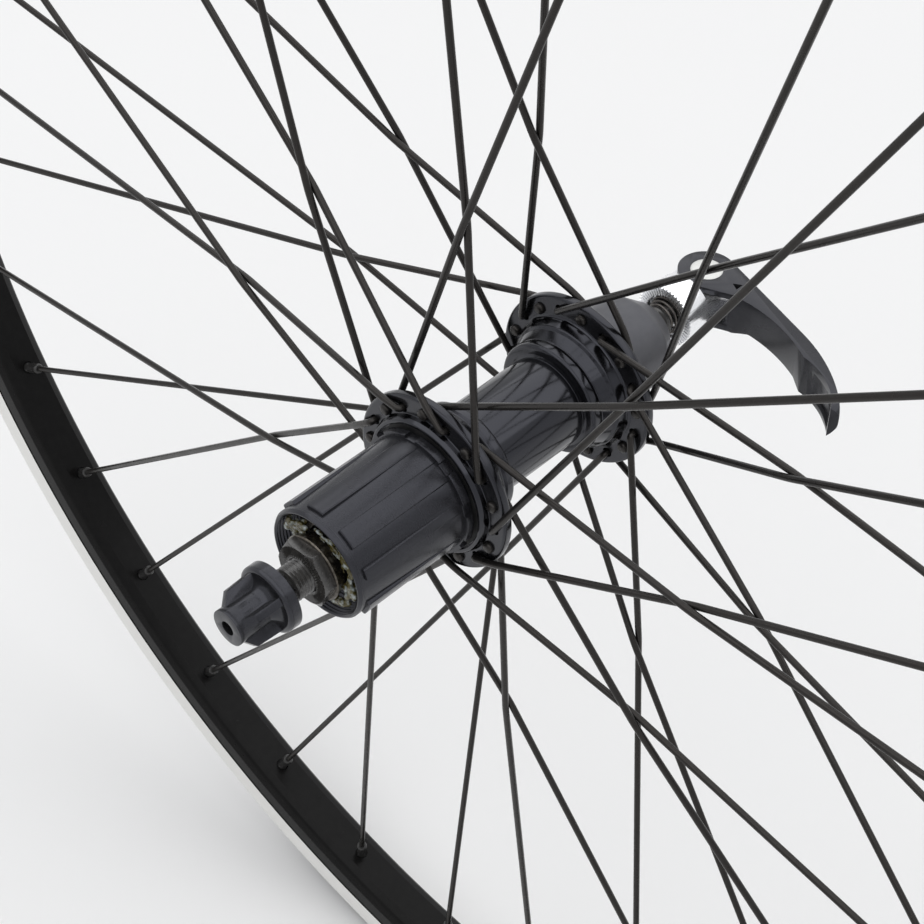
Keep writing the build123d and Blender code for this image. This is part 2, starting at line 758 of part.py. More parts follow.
# Quick-release nut: flared collar, finned core and a bored tip
nut_neck_y = nut_face_y - nut_collar_length
nut_edge_y = nut_face_y - nut_collar_edge
nut_shoulder = (nut_collar_radius - nut_collar_round, nut_edge_y - nut_collar_round)
fin_end_y = nut_tip_y + nut_tip_length
fin_base_radius = nut_core_radius - free_gap
with BuildPart() as qr_nut:
    with BuildSketch(Plane.XY):
        with BuildLine():
            Polyline(
                (nut_core_radius, nut_neck_y),
                (nut_tip_radius, fin_end_y),
                (nut_tip_radius, nut_tip_y),
                (rod_radius - rod_hole_step, nut_tip_y),
                (rod_radius - rod_hole_step, fin_end_y),
                (rod_radius + running_gap, fin_end_y),
                (rod_radius + running_gap, nut_face_y),
                (nut_collar_radius, nut_face_y),
                (nut_collar_radius, nut_edge_y),
            )
            RadiusArc((nut_collar_radius, nut_edge_y), nut_shoulder, nut_collar_round)
            RadiusArc(nut_shoulder, (nut_core_radius, nut_neck_y), -nut_neck_round)
        make_face()
    revolve(axis=Axis.Y)
    for index in range(fin_count):
        fin_angle = first_fin_angle + index * 360 / fin_count
        fin_plane = Plane(origin=(0, 0, 0), x_dir=point(1, fin_angle, 0), z_dir=point(1, fin_angle + 90, 0))
        with BuildSketch(fin_plane):
            with BuildLine():
                Polyline(
                    (fin_base_radius, nut_edge_y),
                    (fin_root_radius, nut_edge_y),
                    (fin_tip_radius, fin_end_y + fin_slant),
                    (fin_base_radius, fin_end_y),
                    close=True,
                )
            make_face()
        extrude(amount=fin_thickness / 2, both=True)
qr_nut.part.label = "qr_nut"
export_step(qr_nut.part, "parts/qr_nut.step")

# Quick-release housing: serrated face, spring pocket, and ears round the cam
pocket_floor_y = housing_face_y + spring_pocket_depth
eye_inner_width = cam_radius + cam_throw / 2 + eye_gap
eye_half_width = eye_inner_width + eye_wall
eye_inner_height = cam_radius + eye_gap
eye_half_height = eye_inner_height + eye_wall
eye_middle_y = pivot_y + cam_throw / 2
ear_slot_half_thickness = eye_half_thickness + eye_gap
slot_half_width = eye_half_width + free_gap
slot_end_y = eye_middle_y + eye_half_height + free_gap
eye_corner = eye_half_height / 2
with BuildPart() as qr_housing:
    with BuildSketch(Plane.XZ.offset(-cheek_y)):
        Circle(housing_radius)
    extrude(amount=housing_collar_length)
    with BuildSketch(Plane.XY):
        with Locations((0, pivot_y)):
            Circle(ear_radius)
        with Locations((0, cheek_y)):
            Rectangle(2 * ear_radius, pivot_y - cheek_y, align=(Align.CENTER, Align.MIN))
    extrude(amount=ear_half_thickness, both=True)
    with BuildSketch(Plane.XZ.offset(-pocket_floor_y)):
        Circle(spring_pocket_radius)
    extrude(amount=spring_pocket_depth, mode=Mode.SUBTRACT)
    with BuildSketch(Plane.XY):
        with Locations((0, pocket_floor_y)):
            Rectangle(2 * slot_half_width, slot_end_y - pocket_floor_y, align=(Align.CENTER, Align.MIN))
    extrude(amount=ear_slot_half_thickness, both=True, mode=Mode.SUBTRACT)
    with BuildSketch(Plane.XY):
        with Locations((0, pivot_y)):
            Circle(pin_radius + running_gap)
    extrude(amount=housing_radius, both=True, mode=Mode.SUBTRACT)
    with BuildSketch(Plane.XZ.offset(-housing_face_y)):
        with PolarLocations((housing_radius + spring_pocket_radius) / 2, serration_count):
            Rectangle(housing_radius, pi * housing_radius / serration_count)
    extrude(amount=-serration_depth, mode=Mode.SUBTRACT)
qr_housing.part.label = "qr_housing"
export_step(qr_housing.part, "parts/qr_housing.step")

# Skewer rod with the slotted eye that the cam drives
with BuildPart() as qr_rod:
    with BuildSketch(Plane.XZ.offset(-eye_middle_y + eye_inner_height)):
        Circle(rod_radius)
    extrude(amount=eye_middle_y - eye_inner_height - rod_end_y)
    with BuildSketch(Plane.XY):
        with Locations((0, eye_middle_y)):
            RectangleRounded(2 * eye_half_width, 2 * eye_half_height, eye_corner)
            RectangleRounded(2 * eye_inner_width, 2 * eye_inner_height, cam_radius, mode=Mode.SUBTRACT)
    extrude(amount=eye_half_thickness, both=True)
qr_rod.part.label = "qr_rod"
export_step(qr_rod.part, "parts/qr_rod.step")

# Cam pin, carried by the lever's cheeks
with BuildPart() as qr_cam:
    with BuildSketch(Plane.XY):
        with Locations((0, pivot_y)):
            Circle(pin_radius)
    extrude(amount=lever_half_width + pin_proud, both=True)
    with BuildSketch(Plane.XY):
        with Locations((0, pivot_y)):
            Circle(pin_radius + free_gap)
        with Locations((0, eye_middle_y)):
            Circle(cam_radius, mode=Mode.SUBTRACT)
    extrude(amount=ear_slot_half_thickness, both=True, mode=Mode.SUBTRACT)
qr_cam.part.label = "qr_cam"
export_step(qr_cam.part, "parts/qr_cam.step")

# Conical spring between the axle's end and the housing's pocket
spring_start_y = axle_length / 2 + spring_wire / 2
spring_height = pocket_floor_y - spring_wire / 2 - spring_start_y
spring_growth = spring_pocket_radius - free_gap - spring_wire / 2 - spring_small_radius
with BuildPart() as qr_spring:
    with BuildLine():
        coil = Helix(
            pitch=spring_height / spring_turns,
            height=spring_height,
            radius=spring_small_radius,
            center=(0, spring_start_y, 0),
            direction=(0, 1, 0),
            cone_angle=degrees(atan2(spring_growth, spring_height)),
        )
    with BuildSketch(Plane(origin=coil @ 0, z_dir=coil % 0)):
        Rectangle(spring_wire_side, spring_wire_side)
    sweep(is_frenet=True)
qr_spring.part.label = "qr_spring"
export_step(qr_spring.part, "parts/qr_spring.step")

# Lever: slotted boss and a curved, waisted arm with a stepped, dished finger grip
lever_plane = Plane.XY.shift_origin((0, pivot_y, 0))
straight_end = (arm_straight_reach, -arm_straight_drop)
arm_root = (arm_root_reach, -arm_root_drop)
top_angle = atan2(straight_end[1], straight_end[0]) + acos(boss_radius / hypot(*straight_end))
root_angle = atan2(arm_root[1], arm_root[0]) - acos(boss_radius / hypot(*arm_root))
boss_top = (boss_radius * cos(top_angle), boss_radius * sin(top_angle))
boss_root = (boss_radius * cos(root_angle), boss_radius * sin(root_angle))
arm_direction = (straight_end[0] - boss_top[0], straight_end[1] - boss_top[1])
tip_outer = (arm_reach, -arm_drop)
tip_inner = (arm_reach - tip_thickness, -arm_drop - tip_thickness / 2)
step_start = (step_reach, -step_drop)
step_end = (step_reach + step_length, -step_drop - step_height)
cheek_slot_half = ear_half_thickness + eye_gap
cheek_slot_radius = hypot(ear_radius, pivot_stand) + free_gap
with BuildPart() as qr_lever:
    with BuildSketch(lever_plane):
        Circle(boss_radius)
        with BuildLine():
            Polyline((0, 0), boss_top, straight_end)
            TangentArc(straight_end, tip_outer, tangent=arm_direction)
            Line(tip_outer, tip_inner)
            grip = RadiusArc(tip_inner, step_end, -grip_radius)
            Line(step_end, step_start)
            RadiusArc(step_start, arm_root, -arm_radius)
            Polyline(arm_root, boss_root, (0, 0))
        make_face()
    extrude(amount=lever_half_width, both=True)
    with BuildSketch(Plane.XZ.offset(-pivot_y)):
        with BuildLine():
            FilletPolyline(
                (-arm_reach, lever_half_width),
                (arm_reach, lever_half_width),
                (arm_reach, -grip_under_width),
                (step_end[0], -grip_under_width),
                (step_start[0], -arm_under_width),
                (waist_end_reach, -arm_under_width),
                (waist_start_reach, -lever_half_width),
                (-arm_reach, -lever_half_width),
                radius=[
                    tip_top_round,
                    tip_under_round,
                    step_round,
                    step_round,
                    arm_under_round,
                    arm_under_round,
                ],
            )
            Line((-arm_reach, -lever_half_width), (-arm_reach, lever_half_width))
        make_face()
    extrude(amount=arm_reach, both=True, mode=Mode.INTERSECT)
    with BuildSketch(lever_plane):
        with BuildLine():
            RadiusArc(grip @ dish_start_share, grip @ dish_end_share, -dish_radius)
            Line(grip @ dish_start_share, grip @ dish_end_share)
        make_face()
    extrude(amount=grip_under_width - dish_margin, both=True, mode=Mode.SUBTRACT)
    with BuildSketch(lever_plane):
        Circle(cheek_slot_radius)
    extrude(amount=cheek_slot_half, both=True, mode=Mode.SUBTRACT)
    with BuildSketch(lever_plane):
        Circle(pin_radius + press_gap)
    extrude(amount=lever_half_width, both=True, mode=Mode.SUBTRACT)
    with BuildSketch(lever_plane.offset(lever_half_width)):
        with Locations((notch_reach, 0)):
            RegularPolygon(notch_size, 3, rotation=180)
    extrude(amount=-notch_depth, mode=Mode.SUBTRACT)
qr_lever.part.label = "qr_lever"
export_step(qr_lever.part, "parts/qr_lever.step")
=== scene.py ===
"""Looks of the rear bicycle wheel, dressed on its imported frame.

Lengths are written in millimetres and become metres where a mesh is made. The axle runs along Y with the
drive side at -Y, and angles run from +X towards +Z.
"""

from math import ceil, cos, pi, radians, sin, sqrt, tan
from random import Random

import bmesh
import bpy
from mathutils import Matrix, Vector


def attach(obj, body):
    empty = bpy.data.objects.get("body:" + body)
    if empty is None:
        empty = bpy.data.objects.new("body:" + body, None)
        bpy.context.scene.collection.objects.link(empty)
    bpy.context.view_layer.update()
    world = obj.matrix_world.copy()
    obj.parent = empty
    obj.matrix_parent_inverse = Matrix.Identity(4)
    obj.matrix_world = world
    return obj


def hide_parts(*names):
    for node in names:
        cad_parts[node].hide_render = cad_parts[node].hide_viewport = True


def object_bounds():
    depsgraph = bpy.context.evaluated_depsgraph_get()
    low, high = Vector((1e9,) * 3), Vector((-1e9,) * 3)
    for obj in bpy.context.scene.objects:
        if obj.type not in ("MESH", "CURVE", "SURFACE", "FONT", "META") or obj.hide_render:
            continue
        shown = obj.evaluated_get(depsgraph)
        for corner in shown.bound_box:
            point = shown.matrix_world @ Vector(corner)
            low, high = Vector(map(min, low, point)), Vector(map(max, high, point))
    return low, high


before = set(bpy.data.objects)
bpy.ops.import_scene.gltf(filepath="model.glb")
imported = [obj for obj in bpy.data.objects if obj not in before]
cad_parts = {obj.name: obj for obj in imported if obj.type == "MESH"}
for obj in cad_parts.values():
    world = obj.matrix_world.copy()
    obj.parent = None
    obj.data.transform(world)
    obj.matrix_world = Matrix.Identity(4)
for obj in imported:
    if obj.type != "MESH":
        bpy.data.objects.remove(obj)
cad_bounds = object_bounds()

MM = 0.001

# Sizes shared with the solids
RIM_OUTER = 285.0
BED = 264.0
BEAD_SEAT = 279.5
WELL = 276.1
SPOKES = 36
FIRST_SPOKE = -153.7
SPOKE_STEP = 360 / SPOKES
LACING = 60.0
WIRE = 1.0
HOLE_CIRCLE = 23.1
FLANGE_RADIUS = 26.9
FLANGE_HALF = 1.5
DRIVE_FLANGE = -19.4
LEFT_FLANGE = 37.4
SHELL_MOUTH = -23.4
SHELL_END = 47.6
FREEHUB_MOUTH = -62.7
SPLINE_START = -60.0
OUTER_BEARING = -53.8
SPLINE_END = -26.4
FREEHUB_REAR = -24.0
RIGHT_FACE = -67.5
LEFT_FACE = 67.5
AXLE_RADIUS = 5.0
AXLE_HALF = 73.0
PIVOT_Y = 94.2
PIN_RADIUS = 4.85
PIN_HALF = 7.2
SPRING_POCKET_FLOOR = 78.5
SEAL_FLOOR = -21.9
NUT_BACK = -62.3

# Smooth shading and mesh density
SMOOTH_ANGLE = 32.0
THREAD_SMOOTH_ANGLE = 20.0
FLAT_ANGLE = 0.5
MERGE_DISTANCE = 1e-6
BEVEL_SEGMENTS = 3
FILLET_REACH = 0.49
BEND_REACH = 0.45
DRILL_SIDES = 20
SPOKE_SIDES = 14
NIPPLE_SIDES = 24
RING_SEGMENTS = 128

# Stage, in metres and watts
FLOOR_HALF = 3.0
FLOOR_GAP = 0.001
ROOM_COLOUR = (0.97, 0.98, 1.0, 1.0)
ROOM_STRENGTH = 0.36
BACKDROP_STRENGTH = 0.84
CEILING_PLACE = (0.0, 0.0, 3.2)
CEILING_SIZE = 9.0
CEILING_POWER = 258.0

# Camera, from the photograph's fitted view
CAMERA_PLACE = Vector((256.47, -272.97, 355.55)) * MM
CAMERA_RIGHT = Vector((0.7169, 0.6972, 0.0))
CAMERA_UP = Vector((-0.4848, 0.4985, 0.7186))
FOCAL_PIXELS = 1901.0
IMAGE_PIXELS = 924
SENSOR = 36.0
CLIP_START = 0.01


def polar(radius, angle, y):
    """Point at a radius and an angle about the axle, in millimetres."""
    return Vector((radius * cos(radians(angle)), y, radius * sin(radians(angle))))


# Materials

NOISE_LOW = 0.3
NOISE_HIGH = 0.7
LEAST_ROUGHNESS = 0.02
COOL = (0.85, 0.87, 1.0)
WARM = (1.0, 0.94, 0.9)


class Shader:
    """A principled material with a few helpers for its detail."""

    def __init__(self, name, colour, roughness, metallic=0.0, ior=1.5, tint=(1.0, 1.0, 1.0)):
        self.material = bpy.data.materials.new(name)
        self.material.use_nodes = True
        self.nodes = self.material.node_tree.nodes
        self.links = self.material.node_tree.links
        self.principled = self.nodes["Principled BSDF"]
        self.colour = (*colour, 1.0)
        self.principled.inputs["Base Color"].default_value = self.colour
        self.principled.inputs["Roughness"].default_value = roughness
        self.principled.inputs["Metallic"].default_value = metallic
        self.principled.inputs["IOR"].default_value = ior
        self.principled.inputs["Specular Tint"].default_value = (*tint, 1.0)
        self.roughness = roughness

    def add(self, kind, **values):
        """New node with values set on it."""
        node = self.nodes.new(kind)
        for key, value in values.items():
            setattr(node, key, value)
        return node

    def place(self, turned):
        """Object coordinates, or radius and axial place for a turned surface, in millimetres."""
        coordinates = self.add("ShaderNodeTexCoord").outputs["Object"]
        scale = self.add("ShaderNodeVectorMath", operation="SCALE")
        scale.inputs["Scale"].default_value = 1 / MM
        self.links.new(coordinates, scale.inputs[0])
        if not turned:
            return scale.outputs[0]
        split = self.add("ShaderNodeSeparateXYZ")
        self.links.new(scale.outputs[0], split.inputs[0])
        flat = self.add("ShaderNodeCombineXYZ")
        self.links.new(split.outputs["X"], flat.inputs["X"])
        self.links.new(split.outputs["Z"], flat.inputs["Y"])
        length = self.add("ShaderNodeVectorMath", operation="LENGTH")
        self.links.new(flat.outputs[0], length.inputs[0])
        joined = self.add("ShaderNodeCombineXYZ")
        self.links.new(length.outputs["Value"], joined.inputs["X"])
        self.links.new(split.outputs["Y"], joined.inputs["Y"])
        return joined.outputs[0]

    def noise(self, size, detail=3.0, turned=False):
        """Noise with features of about a size in millimetres."""
        texture = self.add("ShaderNodeTexNoise")
        texture.inputs["Scale"].default_value = 1 / size
        texture.inputs["Detail"].default_value = detail
        self.links.new(self.place(turned), texture.inputs["Vector"])
        return texture.outputs["Fac"]

    def spread(self, factor, low, high):
        """Factor stretched from its middle values to a range."""
        reach = self.add("ShaderNodeMapRange")
        reach.inputs["From Min"].default_value = NOISE_LOW
        reach.inputs["From Max"].default_value = NOISE_HIGH
        reach.inputs["To Min"].default_value = low
        reach.inputs["To Max"].default_value = high
        self.links.new(factor, reach.inputs["Value"])
        return reach.outputs["Result"]

    def vary_roughness(self, size, amount, turned=False):
        """Patches of more and less gloss."""
        factor = self.noise(size, turned=turned)
        low = max(self.roughness - amount, LEAST_ROUGHNESS)
        gloss = self.spread(factor, low, self.roughness + amount)
        self.links.new(gloss, self.principled.inputs["Roughness"])

    def vary_colour(self, size, other, share=1.0, low=0.0):
        """Patches that lean towards another colour."""
        factor = self.noise(size, detail=5.0)
        mix = self.add("ShaderNodeMix", data_type="RGBA")
        mix.inputs["A"].default_value = self.colour
        mix.inputs["B"].default_value = (*other, 1.0)
        self.links.new(self.spread(factor, low, share), mix.inputs["Factor"])
        self.links.new(mix.outputs["Result"], self.principled.inputs["Base Color"])

    def bump(self, size, depth, turned=False, detail=2.0):
        """Fine relief, with a depth in millimetres."""
        relief = self.add("ShaderNodeBump")
        relief.inputs["Strength"].default_value = 1.0
        relief.inputs["Distance"].default_value = depth * MM
        self.links.new(self.noise(size, detail, turned), relief.inputs["Height"])
        self.links.new(relief.outputs["Normal"], self.principled.inputs["Normal"])


def rim_black():
    shader = Shader("rim_black", colour=(0.004, 0.0038, 0.0038), roughness=0.24, ior=1.2)
    shader.vary_roughness(size=14.0, amount=0.06)
    shader.vary_colour(size=3.0, other=(0.006, 0.0058, 0.0057))
    shader.bump(size=0.35, depth=0.004)
    return shader.material


def brake_track():
    shader = Shader("brake_track", colour=(0.84, 0.835, 0.81), roughness=0.4, metallic=0.2)
    shader.vary_roughness(size=0.5, amount=0.08, turned=True)
    shader.bump(size=0.22, depth=0.02, turned=True)
    return shader.material


def spoke_black():
    shader = Shader("spoke_black", colour=(0.0085, 0.0078, 0.0073), roughness=0.28, ior=1.4, tint=WARM)
    shader.vary_roughness(size=6.0, amount=0.06)
    shader.vary_colour(size=1.2, other=(0.013, 0.0121, 0.0113))
    shader.bump(size=0.2, depth=0.002)
    return shader.material


def nipple_black():
    shader = Shader("nipple_black", colour=(0.015, 0.015, 0.015), roughness=0.34, metallic=0.3)
    shader.vary_colour(size=0.8, other=(0.035, 0.034, 0.033))
    shader.bump(size=0.25, depth=0.004)
    return shader.material


def hub_gloss():
    shader = Shader("hub_gloss", colour=(0.003, 0.003, 0.0035), roughness=0.15, ior=1.52, tint=COOL)
    shader.vary_roughness(size=5.0, amount=0.03)
    shader.bump(size=0.3, depth=0.0006, turned=True)
    return shader.material


def hub_satin():
    shader = Shader("hub_satin", colour=(0.004, 0.004, 0.0045), roughness=0.2, tint=COOL)
    shader.vary_roughness(size=4.0, amount=0.04)
    shader.vary_colour(size=1.6, other=(0.006, 0.006, 0.0065))
    shader.bump(size=0.2, depth=0.001, turned=True)
    return shader.material


def freehub_grey():
    shader = Shader("freehub_grey", colour=(0.011, 0.011, 0.0125), roughness=0.25, ior=1.48, tint=COOL)
    shader.vary_roughness(size=1.2, amount=0.03, turned=True)
    shader.vary_colour(size=0.8, other=(0.014, 0.014, 0.0158))
    shader.bump(size=0.18, depth=0.003, turned=True)
    return shader.material


def cap_grey():
    shader = Shader("cap_grey", colour=(0.07, 0.07, 0.074), roughness=0.42, tint=COOL)
    shader.vary_roughness(size=6.0, amount=0.05)
    shader.vary_colour(size=2.5, other=(0.082, 0.082, 0.086))
    shader.bump(size=0.16, depth=0.006)
    return shader.material


def steel():
    shader = Shader("steel", colour=(0.5, 0.49, 0.48), roughness=0.28, metallic=1.0)
    shader.vary_roughness(size=1.2, amount=0.08, turned=True)
    shader.bump(size=0.15, depth=0.003, turned=True)
    return shader.material


def steel_greasy():
    shader = Shader("steel_greasy", colour=(0.13, 0.115, 0.1), roughness=0.2, metallic=0.9)
    shader.vary_roughness(size=1.2, amount=0.08)
    shader.vary_colour(size=1.0, other=(0.05, 0.045, 0.035))
    shader.bump(size=0.3, depth=0.01)
    return shader.material


def steel_black():
    shader = Shader("steel_black", colour=(0.028, 0.027, 0.026), roughness=0.22, ior=1.7)
    shader.vary_roughness(size=1.5, amount=0.08)
    shader.vary_colour(size=0.7, other=(0.05, 0.047, 0.044))
    shader.bump(size=0.2, depth=0.004)
    return shader.material


def silver():
    shader = Shader("silver", colour=(0.93, 0.935, 0.95), roughness=0.2, metallic=0.9)
    shader.vary_roughness(size=4.0, amount=0.05)
    shader.bump(size=0.3, depth=0.002, turned=True)
    return shader.material


def lever_black():
    shader = Shader("lever_black", colour=(0.016, 0.016, 0.0172), roughness=0.2, ior=1.42, tint=COOL)
    shader.vary_roughness(size=5.0, amount=0.03)
    shader.vary_colour(size=2.0, other=(0.02, 0.02, 0.0215))
    shader.bump(size=0.3, depth=0.003)
    return shader.material


def pin_pale():
    shader = Shader("pin_pale", colour=(0.74, 0.74, 0.72), roughness=0.42, metallic=0.3)
    shader.vary_colour(size=1.0, other=(0.64, 0.64, 0.62), share=0.6)
    shader.bump(size=0.25, depth=0.006)
    return shader.material


def nut_grey():
    shader = Shader("nut_grey", colour=(0.010, 0.010, 0.011), roughness=0.2, tint=COOL)
    shader.vary_roughness(size=2.5, amount=0.03)
    shader.vary_colour(size=1.8, other=(0.014, 0.014, 0.015))
    shader.bump(size=0.2, depth=0.005)
    return shader.material


def spring_steel():
    shader = Shader("spring_steel", colour=(0.16, 0.15, 0.14), roughness=0.35, metallic=0.9)
    shader.vary_colour(size=0.6, other=(0.07, 0.06, 0.055))
    shader.bump(size=0.2, depth=0.004)
    return shader.material


def seal_rubber():
    shader = Shader("seal_rubber", colour=(0.014, 0.014, 0.014), roughness=0.6)
    shader.vary_roughness(size=2.0, amount=0.06)
    shader.bump(size=0.2, depth=0.006)
    return shader.material


def grease():
    shader = Shader("grease", colour=(0.075, 0.062, 0.013), roughness=0.1)
    # Pale blue-white patches in the colour: partly the whitish paste, partly a painted highlight of the
    # wet surface.
    shader.vary_colour(size=1.6, other=(0.42, 0.47, 0.47), low=-0.75)
    shader.principled.inputs["Subsurface Weight"].default_value = 0.2
    shader.principled.inputs["Subsurface Radius"].default_value = (0.0012, 0.0011, 0.0006)
    shader.bump(size=0.5, depth=0.25, detail=5.0)
    return shader.material


def floor_pale():
    shader = Shader("floor_pale", colour=(0.88, 0.88, 0.88), roughness=0.9)
    shader.vary_colour(size=400.0, other=(0.89, 0.89, 0.89))
    return shader.material


LOOKS = {
    make.__name__: make()
    for make in (
        rim_black, brake_track, spoke_black, nipple_black, hub_gloss, hub_satin, freehub_grey, cap_grey,
        steel, steel_greasy, steel_black, silver, lever_black, pin_pale, nut_grey, spring_steel,
        seal_rubber, grease,
    )
}


# Mesh helpers


def make_piece(name, points, faces, looks, bands=None, sharp=SMOOTH_ANGLE):
    """Object from points in millimetres, with smooth shading up to an angle between faces."""
    mesh = bpy.data.meshes.new(name)
    mesh.from_pydata([Vector(point) * MM for point in points], [], faces)
    for look in looks:
        mesh.materials.append(LOOKS[look])
    if bands:
        mesh.polygons.foreach_set("material_index", bands)
    tidy_normals(mesh, sharp)
    piece = bpy.data.objects.new(name, mesh)
    bpy.context.scene.collection.objects.link(piece)
    return piece


def tidy_normals(mesh, sharp):
    """Outward normals, smooth below an angle."""
    work = bmesh.new()
    work.from_mesh(mesh)
    bmesh.ops.recalc_face_normals(work, faces=work.faces)
    work.to_mesh(mesh)
    work.free()
    mesh.shade_smooth()
    mesh.set_sharp_from_angle(angle=radians(sharp))


def dress(piece, body, slot, *nodes):
    """Puts a piece on its body and hides the solids that it stands for; the slot argument is not used."""
    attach(piece, body)
    if nodes:
        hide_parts(*nodes)
    return piece


def rounded(corners, steps=4):
    """Outline through corners (a, b, fillet radius), with each fillet as an arc of short steps."""
    outline = []
    count = len(corners)
    for index, (a, b, radius) in enumerate(corners):
        here = Vector((a, b))
        before = Vector(corners[index - 1][:2]) - here
        after = Vector(corners[(index + 1) % count][:2]) - here
        if radius == 0:
            outline.append((a, b))
            continue
        half = before.angle(after) / 2
        reach = min(radius / tan(half), FILLET_REACH * before.length, FILLET_REACH * after.length)
        start = here + before.normalized() * reach
        end = here + after.normalized() * reach
        for step in range(steps + 1):
            share = step / steps
            one = start.lerp(here, share)
            two = here.lerp(end, share)
            outline.append(tuple(one.lerp(two, share)))
    return outline


def lathe(name, outline, segments, looks, band=None, shape=None, sharp=SMOOTH_ANGLE):
    """Piece turned about the axle from a closed outline of (radius, y).

    band gives a row's look from its middle, and shape moves a point from its radius, y and angle.
    """
    points = []
    rows = len(outline)
    for step in range(segments):
        angle = 360 * step / segments
        for radius, y in outline:
            if shape:
                radius, y = shape(radius, y, angle)
            points.append(polar(radius, angle, y))
    faces = []
    bands = []
    for step in range(segments):
        here = step * rows
        there = (step + 1) % segments * rows
        for row in range(rows):
            after = (row + 1) % rows
            faces.append((here + row, here + after, there + after, there + row))
            if band:
                middle = (Vector(outline[row]) + Vector(outline[after])) / 2
                bands.append(band(*middle))
    return make_piece(name, points, faces, looks, bands, sharp)


def tube(path, radii, sides, points, faces):
    """Adds a round tube along a path, with a radius for each of its points."""
    first = len(points)
    tangents = []
    for index in range(len(path)):
        ahead = path[min(index + 1, len(path) - 1)]
        tangents.append((ahead - path[max(index - 1, 0)]).normalized())
    across = tangents[0].orthogonal().normalized()
    for index, (place, radius) in enumerate(zip(path, radii)):
        across = (across - tangents[index] * across.dot(tangents[index])).normalized()
        other = tangents[index].cross(across)
        for side in range(sides):
            turn = 2 * pi * side / sides
            points.append(place + (across * cos(turn) + other * sin(turn)) * radius)
    for index in range(len(path) - 1):
        here = first + index * sides
        for side in range(sides):
            after = (side + 1) % sides
            faces.append((here + side, here + after, here + sides + after, here + sides + side))
    last = first + (len(path) - 1) * sides
    faces.append(tuple(range(first + sides - 1, first - 1, -1)))
    faces.append(tuple(range(last, last + sides)))


def spin_on(origin, direction, profile, sides, points, faces, shape=None):
    """Adds a turned solid about a line, from (distance along it, radius) pairs."""
    first = len(points)
    across = direction.orthogonal().normalized()
    other = direction.cross(across)
    for distance, radius in profile:
        for side in range(sides):
            turn = 2 * pi * side / sides
            reach = shape(distance, radius, turn) if shape else radius
            points.append(origin + direction * distance + (across * cos(turn) + other * sin(turn)) * reach)
    for row in range(len(profile) - 1):
        here = first + row * sides
        for side in range(sides):
            after = (side + 1) % sides
            faces.append((here + side, here + after, here + sides + after, here + sides + side))
    last = first + (len(profile) - 1) * sides
    faces.append(tuple(range(first + sides - 1, first - 1, -1)))
    faces.append(tuple(range(last, last + sides)))


def bake(piece, sharp=SMOOTH_ANGLE):
    """Turns a piece's modifiers into its mesh."""
    depsgraph = bpy.context.evaluated_depsgraph_get()
    mesh = bpy.data.meshes.new_from_object(piece.evaluated_get(depsgraph))
    piece.modifiers.clear()
    piece.data = mesh
    mesh.shade_smooth()
    mesh.set_sharp_from_angle(angle=radians(sharp))


def cut_holes(piece, drills):
    """Cuts turned drills, each (origin, direction, profile), out of a piece."""
    points = []
    faces = []
    for origin, direction, profile in drills:
        spin_on(origin, direction, profile, DRILL_SIDES, points, faces)
    cutter = make_piece(piece.name + "_cutter", points, faces, ["steel"])
    boolean = piece.modifiers.new("holes", "BOOLEAN")
    boolean.object = cutter
    boolean.solver = "EXACT"
    bake(piece)
    bpy.data.objects.remove(cutter)


def from_solid(node, look, edge=0.0, sharp=SMOOTH_ANGLE):
    """Copy of a CAD node's mesh with clean faces and, where asked, rounded edges."""
    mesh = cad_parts[node].data.copy()
    mesh.name = node + "_dressed"
    mesh.materials.clear()
    mesh.materials.append(LOOKS[look])
    work = bmesh.new()
    work.from_mesh(mesh)
    bmesh.ops.remove_doubles(work, verts=work.verts, dist=MERGE_DISTANCE)
    bmesh.ops.dissolve_limit(work, angle_limit=radians(FLAT_ANGLE), verts=work.verts, edges=work.edges)
    for face in work.faces:
        face.material_index = 0
    work.to_mesh(mesh)
    work.free()
    piece = bpy.data.objects.new(node + "_dressed", mesh)
    bpy.context.scene.collection.objects.link(piece)
    if edge:
        bevel = piece.modifiers.new("edges", "BEVEL")
        bevel.width = edge * MM
        bevel.segments = BEVEL_SEGMENTS
        bevel.limit_method = "ANGLE"
        bevel.angle_limit = radians(sharp)
        bevel.use_clamp_overlap = True
        bake(piece, sharp)
    else:
        tidy_normals(mesh, sharp)
    return piece


# Spokes and nipples


def rounded_path(corners, radii, steps=6):
    """Path through corners, with each inner one rounded by a radius."""
    path = [corners[0]]
    for before, here, after, radius in zip(corners, corners[1:], corners[2:], radii):
        back = (before - here).normalized()
        ahead = (after - here).normalized()
        half = back.angle(ahead) / 2
        longest = BEND_REACH * min((before - here).length, (after - here).length)
        reach = min(radius / tan(half), longest)
        for step in range(steps + 1):
            share = step / steps
            one = (here + back * reach).lerp(here, share)
            two = here.lerp(here + ahead * reach, share)
            path.append(one.lerp(two, share))
    path.append(corners[-1])
    return path


